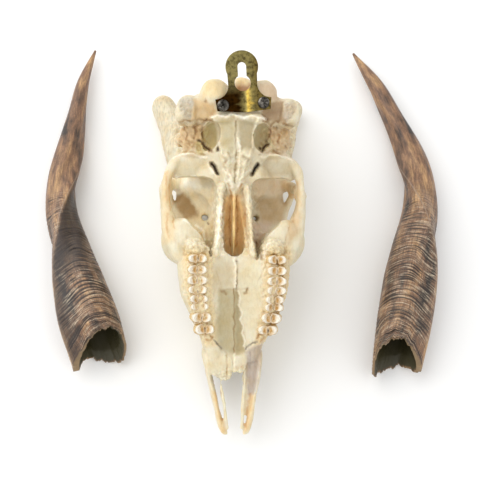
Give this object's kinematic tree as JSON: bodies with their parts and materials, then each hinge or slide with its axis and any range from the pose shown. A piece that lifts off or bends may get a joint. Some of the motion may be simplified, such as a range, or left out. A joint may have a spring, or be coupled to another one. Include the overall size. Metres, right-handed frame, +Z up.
{
  "type": "bushbuck skull with horn sheaths",
  "caption": "Cleaned bushbuck skull lying palate up on its horn cores, with its hollow spiral horn sheaths beside it and a brass keyhole hanger screwed to the condyles.",
  "frame": {"origin": "centre of the whole group's footprint, on the floor that it lies on", "axes": "+Z up from the floor, +Y from the snout towards the back of the skull and the horn tips, +X to the right as the camera sees it"},
  "size_m": [0.29, 0.3124, 0.1177],
  "materials": {
    "bone": "dry, bleached ivory bone, matt with a faint sheen on the smooth bearings",
    "core_bone": "porous yellowish bone of the horn cores, matt",
    "horn": "weathered brown horn with pale fibres and dark growth rings, satin",
    "brass": "tarnished olive brown brass with brighter rubbed edges",
    "steel": "blackened pan-head screws, rubbed to grey on their rims"
  },
  "bodies": {
    "root": {"cranium": "bone", "frontal_bones": "bone", "occiput": "bone", "upper_jaw": "bone", "nasal_bones": "bone", "premaxilla_left": "bone", "premaxilla_right": "bone", "zygomatic_arch_left": "bone", "zygomatic_arch_right": "bone", "horn_core_left": "core_bone", "horn_core_right": "core_bone", "horn_sheath_left": "horn", "horn_sheath_right": "horn", "hanger_plate": "brass", "screw_left": "steel", "screw_right": "steel"}
  },
  "joints": []
}
